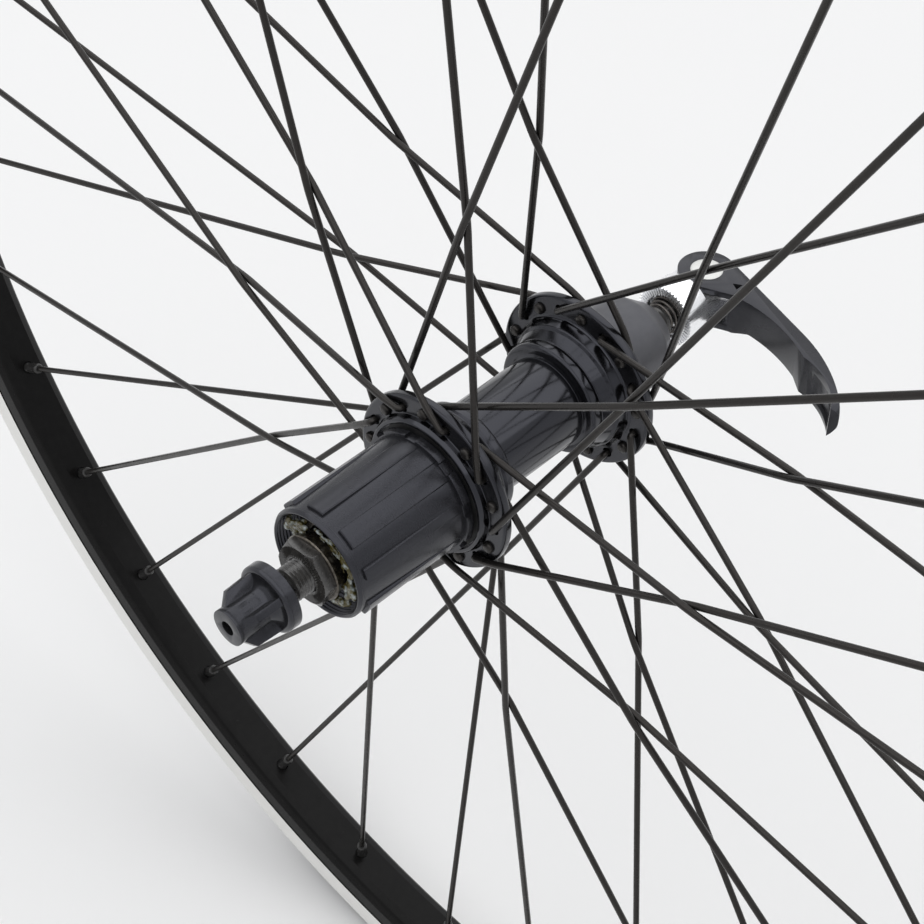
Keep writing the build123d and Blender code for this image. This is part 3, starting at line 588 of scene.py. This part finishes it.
class Spoke:
    """Route of one spoke, as the solids have it."""

    ELBOW = 1.4
    KINK = 60.0
    INTERLACE = 1.1
    EDGE_GAP = 0.05

    def __init__(self, index):
        self.left = index % 2 == 0
        turn = 1 if index % 4 in (1, 2) else -1
        self.outside = turn == 1
        rim_angle = FIRST_SPOKE + index * SPOKE_STEP
        hub_angle = rim_angle - turn * LACING
        flange = LEFT_FLANGE if self.left else DRIVE_FLANGE
        outward = 1 if self.left else -1
        self.side = outward if self.outside else -outward
        self.head = polar(HOLE_CIRCLE, hub_angle, flange - self.side * FLANGE_HALF)
        self.elbow = polar(HOLE_CIRCLE, hub_angle, flange + self.side * (FLANGE_HALF + self.ELBOW))
        self.hole = polar(HOLE_CIRCLE, hub_angle, flange)
        self.seat = polar(BED, rim_angle, 0)
        slant = tan(radians(SPOKE_STEP))
        near = HOLE_CIRCLE * (sin(radians(LACING)) - slant * cos(radians(LACING)))
        share = near / (near + BED * slant)
        self.crossing = self.hole.lerp(self.seat, share) - Vector((0, self.side * self.INTERLACE, 0))
        along = (self.seat - self.hole).normalized()
        reach = self.hole.x * along.x + self.hole.z * along.z
        edge = self.hole + along * (sqrt(reach**2 + FLANGE_RADIUS**2 - HOLE_CIRCLE**2) - reach)
        self.edge = Vector((edge.x, flange + self.side * (FLANGE_HALF + WIRE + self.EDGE_GAP), edge.z))
        self.direction = (self.seat - self.crossing).normalized()

    def path(self):
        """Middle line of the wire, from its head into its nipple."""
        corners = [self.head, self.elbow, self.crossing, self.seat + self.direction]
        radii = [self.ELBOW, self.KINK]
        if self.outside:
            corners.insert(2, self.edge)
            radii.append(self.KINK)
        return rounded_path(corners, radii)


spokes = [Spoke(index) for index in range(SPOKES)]
HEAD_PROFILE = ((-1.25, 0.5), (-1.2, 0.95), (-1.0, 1.4), (-0.7, 1.68), (-0.35, 1.75), (0.0, 1.75))
NIPPLE_PROFILE = (
    (-6.5, 1.2), (-6.5, 1.55), (-6.2, 1.8), (-5.8, 1.92), (-5.4, 1.95), (-5.0, 1.94), (-0.6, 1.94),
    (-0.2, 1.95), (2.9, 1.95), (2.9, 2.8), (3.1, 3.0), (4.6, 3.0), (5.5, 2.4), (5.5, 1.2),
)
NIPPLE_FLAT = 1.62
FLATS_FROM = -5.2
FLATS_TO = -0.3


def nipple_section(distance, radius, turn):
    """Squared section along the wrench flats of a nipple."""
    if not FLATS_FROM < distance < FLATS_TO:
        return radius
    corner = (turn % (pi / 2)) - pi / 4
    return min(radius, NIPPLE_FLAT / cos(corner))


def make_spokes(node, group):
    points = []
    faces = []
    for spoke in group:
        path = spoke.path()
        tube(path, [WIRE] * len(path), SPOKE_SIDES, points, faces)
        spin_on(spoke.head, Vector((0, spoke.side, 0)), HEAD_PROFILE, SPOKE_SIDES, points, faces)
    piece = make_piece(node + "_wire", points, faces, ["spoke_black"])
    dress(piece, "wheel", "spoke_black", node)


def make_nipples():
    points = []
    faces = []
    for spoke in spokes:
        spin_on(spoke.seat, spoke.direction, NIPPLE_PROFILE, NIPPLE_SIDES, points, faces, nipple_section)
    piece = make_piece("nipples_turned", points, faces, ["nipple_black"])
    dress(piece, "wheel", "nipple_black", "nipples")


# Rim

RIM_HALF = (
    (BED, 5.0, 0.0),
    (266.0, 8.0, 3.4),
    (269.2, 9.45, 2.0),
    (274.9, 9.85, 0.0),
    (275.3, 10.2, 0.15),
    (284.4, 10.2, 0.3),
    (RIM_OUTER, 9.6, 0.3),
    (RIM_OUTER, 8.6, 0.4),
    (283.5, 8.0, 0.5),
    (280.2, 8.65, 0.6),
    (BEAD_SEAT, 7.8, 0.5),
    (279.1, 6.1, 0.6),
    (WELL, 4.4, 1.0),
)
VALVE_ANGLE = FIRST_SPOKE + 23.5 * SPOKE_STEP
VALVE_RADIUS = 4.25
VALVE_DRILL = ((-2.0, VALVE_RADIUS), (18.0, VALVE_RADIUS))
NIPPLE_DRILL = ((-2.0, 2.3), (4.0, 2.3))
ACCESS_DRILL = ((WELL - BED - 5.0, 4.0), (WELL - BED + 5.0, 4.0))
TRACK_FROM = 275.2
TRACK_TO = 284.9
TRACK_SIDE = 9.7
RIM_SEGMENTS = 360


def on_track(radius, y):
    """1 on the machined braking faces, and 0 elsewhere on the rim."""
    return int(TRACK_FROM < radius < TRACK_TO and abs(y) > TRACK_SIDE)


def make_rim():
    corners = [*RIM_HALF, *[(radius, -y, fillet) for radius, y, fillet in reversed(RIM_HALF)]]
    piece = lathe(
        "rim_turned",
        rounded(corners, 5),
        RIM_SEGMENTS,
        ["rim_black", "brake_track"],
        band=on_track,
        sharp=28.0,
    )
    drills = []
    for spoke in spokes:
        drills.append((spoke.seat, spoke.direction, NIPPLE_DRILL))
        drills.append((spoke.seat, spoke.direction, ACCESS_DRILL))
    outward = polar(1, VALVE_ANGLE, 0)
    drills.append((polar(BED, VALVE_ANGLE, 0), outward, VALVE_DRILL))
    cut_holes(piece, drills)
    dress(piece, "wheel", "rim_black", "rim")


# Hub

NECK = (
    (20.4, 0.0, 1.6),
    (19.5, 3.6, 0.9),
    (18.6, 4.3, 0.4),
    (16.9, 7.4, 0.9),
    (17.3, 8.4, 0.4),
    (17.3, 11.2, 2.6),
    (14.6, 11.2, 0.2),
    (13.5, 11.5, 0.2),
    (13.8, 12.4, 0.5),
)
SHELL_BORE = 13.0
SHELL_SEGMENTS = 192
LIP_RADIUS = 19.4
FLANGE_FOOT = 21.2
RATCHET_POCKET = 19.0
RATCHET_FLOOR = -17.0
SATIN_FROM = 21.0
SATIN_MARGIN = 0.1
SPOKE_HOLE_DRILL = ((-1.9, 1.75), (-1.1, 1.35), (1.1, 1.35), (1.9, 1.75))


def flange(outer, inner):
    return [(FLANGE_RADIUS, outer, 1.0), (FLANGE_RADIUS, inner, 1.0)]


def make_hub_shell():
    drive_outer = DRIVE_FLANGE - FLANGE_HALF
    drive_inner = DRIVE_FLANGE + FLANGE_HALF
    left_inner = LEFT_FLANGE - FLANGE_HALF
    left_outer = LEFT_FLANGE + FLANGE_HALF
    corners = [
        (LIP_RADIUS, SEAL_FLOOR, 0.0),
        (LIP_RADIUS, SHELL_MOUTH, 0.25),
        (20.4, SHELL_MOUTH, 0.5),
        (21.0, SHELL_MOUTH + 1.1, 0.8),
        (FLANGE_FOOT, drive_outer, 0.3),
        *flange(drive_outer, drive_inner),
        *[(radius, drive_inner + y, fillet) for radius, y, fillet in NECK],
        *[(radius, left_inner - y, fillet) for radius, y, fillet in reversed(NECK)],
        *reversed(flange(left_outer, left_inner)),
        (FLANGE_FOOT, left_outer, 0.3),
        (20.4, left_outer + 1.7, 0.7),
        (17.1, left_outer + 3.1, 1.0),
        (15.6, SHELL_END - 1.0, 0.6),
        (15.1, SHELL_END, 0.2),
        (SHELL_BORE, SHELL_END, 0.2),
        (SHELL_BORE, RATCHET_FLOOR, 0.0),
        (RATCHET_POCKET, RATCHET_FLOOR, 0.0),
        (RATCHET_POCKET, SEAL_FLOOR, 0.0),
    ]

    def band(radius, y):
        on_drive_flange = drive_outer - SATIN_MARGIN < y < drive_inner + SATIN_MARGIN
        on_left_flange = left_inner - SATIN_MARGIN < y < left_outer + SATIN_MARGIN
        return int((on_drive_flange or on_left_flange) and radius > SATIN_FROM)

    piece = lathe(
        "hub_shell_turned",
        rounded(corners, 6),
        SHELL_SEGMENTS,
        ["hub_gloss", "hub_satin"],
        band=band,
        sharp=40.0,
    )
    cut_holes(piece, [(spoke.hole, Vector((0, 1, 0)), SPOKE_HOLE_DRILL) for spoke in spokes])
    dress(piece, "wheel", "hub_black", "hub_shell")


# Freehub

SPLINES = 9
FIRST_LAND = 16.9
LAND_HALF = 10.0
NARROW_SHIFT = 4.4
NARROW_HALF = 5.7
NOTCH_HALF = 5.7
SPLINE_ROOT = 16.4
SPLINE_CREST = 17.4
LAND_BEVEL = 0.25
LAND_BEVEL_ANGLE = 0.6
FLANGE_NOTCH_FROM = 18.2
NOTCH_DEPTH = 0.8
THREAD_RADIUS = 15.05
THREAD_PITCH = 1.06
THREAD_DEPTH = 0.5
THREAD_INSET = 0.4
THREAD_ROWS = 5
FREEHUB_SEGMENTS = 720
REAR_FLANGE = 18.7
SEAL_SEAT = 17.0
PAWL_CARRIER = 14.4
CARRIER_END = -17.4
CARRIER_BORE = 7.6
BEARING_BORE = 13.0


def land_share(angle):
    """How far an angle lies inside the nearest spline land, in degrees; the first land is narrow."""
    step = 360 / SPLINES
    offset = (angle - FIRST_LAND + step / 2) % step - step / 2
    if round((angle - FIRST_LAND - offset) / step) % SPLINES == 0:
        return NARROW_HALF - abs(offset - NARROW_SHIFT)
    return LAND_HALF - abs(offset)


def in_notch(angle):
    """True where an angle lies in a notch of the rear flange."""
    step = 360 / SPLINES
    return abs((angle - FIRST_LAND + step / 2) % step - step / 2) < NOTCH_HALF


def saw(value):
    """Triangle wave from 0 to 1."""
    return abs(2 * (value % 1) - 1)


def freehub_shape(radius, y, angle):
    if radius > SPLINE_ROOT and SPLINE_START - 0.01 < y < SPLINE_END - 0.01:
        inside = land_share(angle)
        if inside < 0:
            radius = SPLINE_ROOT
        elif inside < LAND_BEVEL_ANGLE:
            radius -= LAND_BEVEL
    elif radius > FLANGE_NOTCH_FROM and in_notch(angle):
        radius -= NOTCH_DEPTH
    elif abs(radius - THREAD_RADIUS) < 0.01 and y > FREEHUB_MOUTH + THREAD_PITCH / 2:
        radius += THREAD_DEPTH * saw(y / THREAD_PITCH - angle / 360)
    return radius, y


def make_freehub():
    thread_end = OUTER_BEARING - THREAD_INSET
    thread_length = thread_end - FREEHUB_MOUTH - THREAD_INSET
    thread_rows = ceil(thread_length / THREAD_PITCH * THREAD_ROWS)
    thread_step = thread_length / thread_rows
    outline = rounded([
        (THREAD_RADIUS, FREEHUB_MOUTH + 0.5, 0.0),
        (THREAD_RADIUS + 0.4, FREEHUB_MOUTH, 0.1),
        (SPLINE_ROOT - 0.6, FREEHUB_MOUTH, 0.15),
        (SPLINE_ROOT, FREEHUB_MOUTH + 0.8, 0.3),
        (SPLINE_ROOT, SPLINE_START - 0.02, 0.0),
        (SPLINE_CREST - LAND_BEVEL, SPLINE_START, 0.0),
        (SPLINE_CREST, SPLINE_START + LAND_BEVEL, 0.0),
        (SPLINE_CREST, SPLINE_END, 0.0),
        (REAR_FLANGE, SPLINE_END, 0.2),
        (REAR_FLANGE, FREEHUB_REAR, 0.2),
        (SEAL_SEAT, FREEHUB_REAR, 0.0),
        (SEAL_SEAT, SEAL_FLOOR, 0.0),
        (PAWL_CARRIER, SEAL_FLOOR, 0.0),
        (PAWL_CARRIER, CARRIER_END, 0.3),
        (CARRIER_BORE, CARRIER_END, 0.0),
        (CARRIER_BORE, SPLINE_END, 0.0),
        (BEARING_BORE, SPLINE_END, 0.0),
        (BEARING_BORE, OUTER_BEARING, 0.0),
        (THREAD_RADIUS, OUTER_BEARING, 0.0),
    ], 3)
    outline += [(THREAD_RADIUS, thread_end - step * thread_step) for step in range(thread_rows + 1)]
    piece = lathe(
        "freehub_body_cut",
        outline,
        FREEHUB_SEGMENTS,
        ["freehub_grey"],
        shape=freehub_shape,
        sharp=30.0,
    )
    dress(piece, "freehub", "freehub_grey", "freehub_body")


LUMP_STRETCH = 1.9
LUMP_SIZES = (0.3, 1.0)
LUMP_SQUASH = (0.4, 0.9)
# Angle, spread in degrees, radius, count and size of the lumps in each patch
GREASE_PATCHES = (
    (148.0, 5.0, 12.0, 26, 1.2),
    (127.0, 4.0, 10.6, 14, 1.1),
    (74.0, 14.0, 10.6, 34, 0.7),
    (30.0, 10.0, 12.2, 34, 1.0),
    (-10.0, 10.0, 11.4, 36, 1.1),
    (-54.0, 8.0, 11.8, 28, 1.2),
)
GREASE_Y = -61.0
GREASE_SCATTER = 0.8
GREASE_DEPTH_SCATTER = 0.4
GREASE_VOXEL = 0.16
GREASE_SMOOTHING = 12
GREASE_SEED = 5


def add_lump(centre, reach, squash, points, faces):
    """Adds a small flattened ball, longer round the axle than along it."""
    ball = bmesh.new()
    bmesh.ops.create_icosphere(ball, subdivisions=2, radius=reach)
    first = len(points)
    outward = Vector((centre.x, 0, centre.z)).normalized()
    along = Vector((-outward.z, 0, outward.x)) * LUMP_STRETCH
    for vertex in ball.verts:
        sink = Vector((0, vertex.co.z * squash, 0))
        points.append(centre + outward * vertex.co.x + along * vertex.co.y + sink)
    faces.extend([first + vertex.index for vertex in face.verts] for face in ball.faces)
    ball.free()


def make_grease():
    """Lumps of grease between the dust disc and the freehub's mouth, in a few places round it."""
    chance = Random(GREASE_SEED)
    points = []
    faces = []
    for angle, spread, radius, count, size in GREASE_PATCHES:
        for _ in range(count):
            out = chance.gauss(radius, GREASE_SCATTER)
            turn = chance.gauss(angle, spread)
            y = chance.gauss(GREASE_Y, GREASE_DEPTH_SCATTER)
            reach = size * chance.uniform(*LUMP_SIZES)
            squash = chance.uniform(*LUMP_SQUASH)
            add_lump(polar(out, turn, y), reach, squash, points, faces)
    piece = make_piece("grease_lumps", points, faces, ["grease"], sharp=80.0)
    blend = piece.modifiers.new("blend", "REMESH")
    blend.mode = "VOXEL"
    blend.voxel_size = GREASE_VOXEL * MM
    smooth = piece.modifiers.new("smooth", "SMOOTH")
    smooth.iterations = GREASE_SMOOTHING
    bake(piece, sharp=180.0)
    dress(piece, "axle_set", "seal_rubber")


# Axle set

AXLE_BORE = 2.8
AXLE_END_RADIUS = 4.5
AXLE_THREAD_FROM = 61.0
AXLE_THREAD_INSET = 0.4
AXLE_THREAD_DEPTH = 0.5
AXLE_THREAD_ROW = 0.2
AXLE_SEGMENTS = 96


def axle_shape(radius, y, angle):
    """Thread of 1 mm pitch near both ends."""
    if radius > AXLE_RADIUS - 0.01 and AXLE_THREAD_FROM < abs(y) < AXLE_HALF - AXLE_THREAD_INSET:
        radius -= AXLE_THREAD_DEPTH * saw(y - angle / 360)
    return radius, y


def make_axle():
    right_start = -AXLE_HALF + AXLE_THREAD_INSET
    right = [(AXLE_RADIUS, right_start + AXLE_THREAD_ROW * step) for step in range(60)]
    left = [(AXLE_RADIUS, AXLE_THREAD_FROM + AXLE_THREAD_ROW * step) for step in range(59)]
    outline = [
        (AXLE_BORE, -AXLE_HALF),
        (AXLE_END_RADIUS, -AXLE_HALF),
        *right,
        *left,
        (AXLE_END_RADIUS, AXLE_HALF),
        (AXLE_BORE, AXLE_HALF),
    ]
    piece = lathe(
        "axle_threaded",
        outline,
        AXLE_SEGMENTS,
        ["steel_black"],
        shape=axle_shape,
        sharp=THREAD_SMOOTH_ANGLE,
    )
    dress(piece, "axle_set", "steel_black", "axle")


KNURL_TEETH = 45
KNURL_DEPTH = 0.35
NUT_FLATS = 17.0
NUT_CORNER = 5.0
NUT_BEVEL = 30.0
NUT_BLANK = 10.0
NUT_BORE = 5.02
NUT_NECK = 8.3
NUT_SEGMENTS = 360
HEX_BACK = -64.2
KNURL_FROM = 5.9


def locknut_shape(radius, y, angle):
    """Hexagon behind a bevel, with radial teeth cut in the face."""
    flat = NUT_FLATS / 2
    if radius > flat:
        corner = (angle - NUT_CORNER) % 60 - 30
        bevel = flat + max(y - RIGHT_FACE, 0) / tan(radians(NUT_BEVEL))
        return min(flat / cos(radians(corner)), bevel), y
    if y < RIGHT_FACE + 0.1 and radius > KNURL_FROM:
        y += KNURL_DEPTH * saw(angle * KNURL_TEETH / 360)
    return radius, y


def make_locknut():
    outline = [(NUT_BORE, NUT_BACK), (NUT_BORE, RIGHT_FACE + 0.3), (5.5, RIGHT_FACE)]
    outline += [(6.0 + 0.48 * step, RIGHT_FACE) for step in range(6)]
    outline += [(NUT_BLANK, RIGHT_FACE + 0.08 + 0.16 * step) for step in range(6)]
    outline += [(NUT_BLANK, HEX_BACK), (NUT_NECK, HEX_BACK), (NUT_NECK, NUT_BACK)]
    piece = lathe(
        "right_locknut_cut",
        outline,
        NUT_SEGMENTS,
        ["steel_black"],
        shape=locknut_shape,
        sharp=THREAD_SMOOTH_ANGLE,
    )
    dress(piece, "axle_set", "steel_black", "right_locknut")


SPACER_BORE = 5.05
SPACER_RADIUS = 8.5
SPACER_NOSE = 6.5
DUST_DISC = 12.2
DISC_FRONT = -56.6
DISC_BACK = -55.2
COLLAR_RADIUS = 9.8
COLLAR_BACK_RADIUS = 9.0
COLLAR_BACK = -61.0


def make_right_spacer():
    outline = rounded([
        (SPACER_BORE, NUT_BACK, 0.0),
        (SPACER_RADIUS, NUT_BACK, 0.25),
        (SPACER_RADIUS, DISC_FRONT, 0.3),
        (DUST_DISC, DISC_FRONT, 0.3),
        (DUST_DISC, DISC_BACK, 0.3),
        (SPACER_NOSE, DISC_BACK, 0.0),
        (SPACER_NOSE, OUTER_BEARING, 0.0),
        (SPACER_BORE, OUTER_BEARING, 0.0),
    ])
    piece = lathe("right_spacer_turned", outline, RING_SEGMENTS, ["steel_greasy"])
    dress(piece, "axle_set", "steel", "right_spacer")


def make_dust_ring():
    """Round collar at the locknut's back, going into the freehub's mouth."""
    outline = rounded([
        (NUT_NECK, COLLAR_BACK, 0.0),
        (NUT_NECK, HEX_BACK, 0.0),
        (9.5, HEX_BACK, 0.2),
        (COLLAR_RADIUS, HEX_BACK + 0.4, 0.2),
        (COLLAR_BACK_RADIUS, COLLAR_BACK, 0.2),
    ])
    piece = lathe("dust_ring", outline, RING_SEGMENTS, ["steel_greasy"])
    dress(piece, "axle_set", "steel")


CAP_RADIUS = 14.6
CAP_INSIDE = 13.0
CAP_FRONT = SHELL_END + 0.4
CAP_STRAIGHT_END = 57.0
CAP_FACE_RADIUS = 9.0
CAP_FLOOR = 63.5
CAP_SEGMENTS = 160


def make_left_cap():
    outline = rounded([
        (CAP_INSIDE, CAP_FRONT, 0.15),
        (CAP_RADIUS, CAP_FRONT, 0.3),
        (CAP_RADIUS, CAP_STRAIGHT_END, 0.0),
        (CAP_RADIUS, 60.2, 3.2),
        (12.6, 62.8, 1.6),
        (CAP_FACE_RADIUS, LEFT_FACE, 0.3),
        (SPACER_BORE, LEFT_FACE, 0.2),
        (SPACER_BORE, CAP_FLOOR, 0.0),
        (CAP_FACE_RADIUS, CAP_FLOOR, 0.0),
        (CAP_INSIDE, CAP_STRAIGHT_END, 0.0),
    ], 8)
    piece = lathe("left_end_cap_turned", outline, CAP_SEGMENTS, ["cap_grey"])
    dress(piece, "axle_set", "cap_grey", "left_end_cap")


# Skewer

SPRING_TURNS = 3.2
SPRING_WIRE = 0.45
SPRING_GAP = 0.5
SPRING_SMALL = 4.4
SPRING_GROWTH = 1.75
SPRING_STEPS = 40
SPRING_SIDES = 10
PIN_SIDES = 64


def make_spring():
    low = AXLE_HALF + SPRING_GAP
    high = SPRING_POCKET_FLOOR - SPRING_GAP
    steps = ceil(SPRING_TURNS * SPRING_STEPS)
    path = []
    for step in range(steps + 1):
        share = step / steps
        radius = SPRING_SMALL + SPRING_GROWTH * share
        path.append(polar(radius, 360 * SPRING_TURNS * share, low + (high - low) * share))
    points = []
    faces = []
    tube(path, [SPRING_WIRE] * len(path), SPRING_SIDES, points, faces)
    piece = make_piece("qr_spring_coil", points, faces, ["spring_steel"])
    dress(piece, "skewer_housing", "spring_steel", "qr_spring")


def make_cam_pin():
    points = []
    faces = []
    profile = (
        (-PIN_HALF, PIN_RADIUS - 0.9), (-PIN_HALF + 0.1, PIN_RADIUS - 0.4), (-PIN_HALF + 0.35, PIN_RADIUS),
        (PIN_HALF - 0.35, PIN_RADIUS), (PIN_HALF - 0.1, PIN_RADIUS - 0.4), (PIN_HALF, PIN_RADIUS - 0.9),
    )
    spin_on(Vector((0, PIVOT_Y, 0)), Vector((0, 0, 1)), profile, PIN_SIDES, points, faces)
    piece = make_piece("qr_cam_pin", points, faces, ["pin_pale"])
    dress(piece, "skewer_lever", "pin_white", "qr_cam")


def make_skewer():
    make_spring()
    make_cam_pin()
    dress(from_solid("qr_housing", "silver", edge=0.2), "skewer_housing", "silver", "qr_housing")
    dress(from_solid("qr_lever", "lever_black", edge=0.5), "skewer_lever", "lever_black", "qr_lever")
    dress(from_solid("qr_nut", "nut_grey", edge=0.4), "skewer_nut", "nut_grey", "qr_nut")
    dress(from_solid("qr_rod", "steel", edge=0.2), "skewer_rod", "steel", "qr_rod")


PLAIN = {
    "left_bearing": "steel",
    "right_bearing": "steel",
    "freehub_outer_bearing": "steel",
    "freehub_inner_bearing": "steel",
    "freehub_spacer": "steel",
    "middle_spacer": "steel",
    "hub_spacer": "steel",
    "left_spacer": "steel",
    "pawl_a": "steel",
    "pawl_b": "steel",
    "pawl_c": "steel",
    "pawl_springs": "spring_steel",
    "ratchet_ring": "steel",
    "freehub_seal": "seal_rubber",
}


def finish_plain_nodes():
    """Materials of the inner pieces, which keep their solids' meshes."""
    for node, look in PLAIN.items():
        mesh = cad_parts[node].data
        mesh.materials.clear()
        mesh.materials.append(LOOKS[look])


# Stage


def make_floor():
    mesh = bpy.data.meshes.new("floor")
    signs = ((-1, -1), (1, -1), (1, 1), (-1, 1))
    mesh.from_pydata([(x * FLOOR_HALF, y * FLOOR_HALF, 0) for x, y in signs], [], [(0, 1, 2, 3)])
    mesh.materials.append(floor_pale())
    floor = bpy.data.objects.new("floor", mesh)
    floor.location.z = cad_bounds[0][2] - FLOOR_GAP
    bpy.context.scene.collection.objects.link(floor)


def add_lamp(name, place, size, power):
    """Soft square lamp that faces the wheel's centre."""
    light = bpy.data.lights.new(name, "AREA")
    light.shape = "SQUARE"
    light.size = size
    light.energy = power
    lamp = bpy.data.objects.new(name, light)
    lamp.location = place
    lamp.rotation_euler = Vector(place).to_track_quat("Z", "Y").to_euler()
    bpy.context.scene.collection.objects.link(lamp)


def make_light():
    """Wide soft ceiling over a dim room, with a pale backdrop that the camera and reflections see."""
    world = bpy.data.worlds.new("studio")
    bpy.context.scene.world = world
    world.use_nodes = True
    nodes = world.node_tree.nodes
    links = world.node_tree.links
    room = nodes["Background"]
    room.inputs["Color"].default_value = ROOM_COLOUR
    room.inputs["Strength"].default_value = ROOM_STRENGTH
    backdrop = nodes.new("ShaderNodeBackground")
    backdrop.inputs["Color"].default_value = ROOM_COLOUR
    backdrop.inputs["Strength"].default_value = BACKDROP_STRENGTH
    mix = nodes.new("ShaderNodeMixShader")
    rays = nodes.new("ShaderNodeLightPath")
    seen = rays.outputs["Is Camera Ray"]
    for kind in ("Is Glossy Ray", "Is Transmission Ray"):
        either = nodes.new("ShaderNodeMath")
        either.operation = "MAXIMUM"
        links.new(seen, either.inputs[0])
        links.new(rays.outputs[kind], either.inputs[1])
        seen = either.outputs[0]
    links.new(seen, mix.inputs[0])
    links.new(room.outputs[0], mix.inputs[1])
    links.new(backdrop.outputs[0], mix.inputs[2])
    links.new(mix.outputs[0], nodes["World Output"].inputs["Surface"])
    add_lamp("ceiling", CEILING_PLACE, CEILING_SIZE, CEILING_POWER)


def make_camera():
    camera = bpy.data.cameras.new("camera")
    camera.sensor_width = SENSOR
    camera.lens = FOCAL_PIXELS * SENSOR / IMAGE_PIXELS
    camera.clip_start = CLIP_START
    piece = bpy.data.objects.new("camera", camera)
    backward = CAMERA_RIGHT.cross(CAMERA_UP)
    turn = Matrix((CAMERA_RIGHT, CAMERA_UP, backward)).transposed()
    piece.matrix_world = Matrix.Translation(CAMERA_PLACE) @ turn.to_4x4()
    bpy.context.scene.collection.objects.link(piece)
    bpy.context.scene.camera = piece


make_camera()
make_light()
make_floor()
make_spokes("drive_outer_spokes", [spoke for spoke in spokes if not spoke.left and spoke.outside])
make_spokes("drive_inner_spokes", [spoke for spoke in spokes if not spoke.left and not spoke.outside])
make_spokes("left_outer_spokes", [spoke for spoke in spokes if spoke.left and spoke.outside])
make_spokes("left_inner_spokes", [spoke for spoke in spokes if spoke.left and not spoke.outside])
make_nipples()
make_rim()
make_hub_shell()
make_freehub()
make_grease()
make_axle()
make_locknut()
make_right_spacer()
make_dust_ring()
make_left_cap()
make_skewer()
finish_plain_nodes()

bpy.context.scene.view_settings.view_transform = "Standard"
bpy.context.view_layer.update()
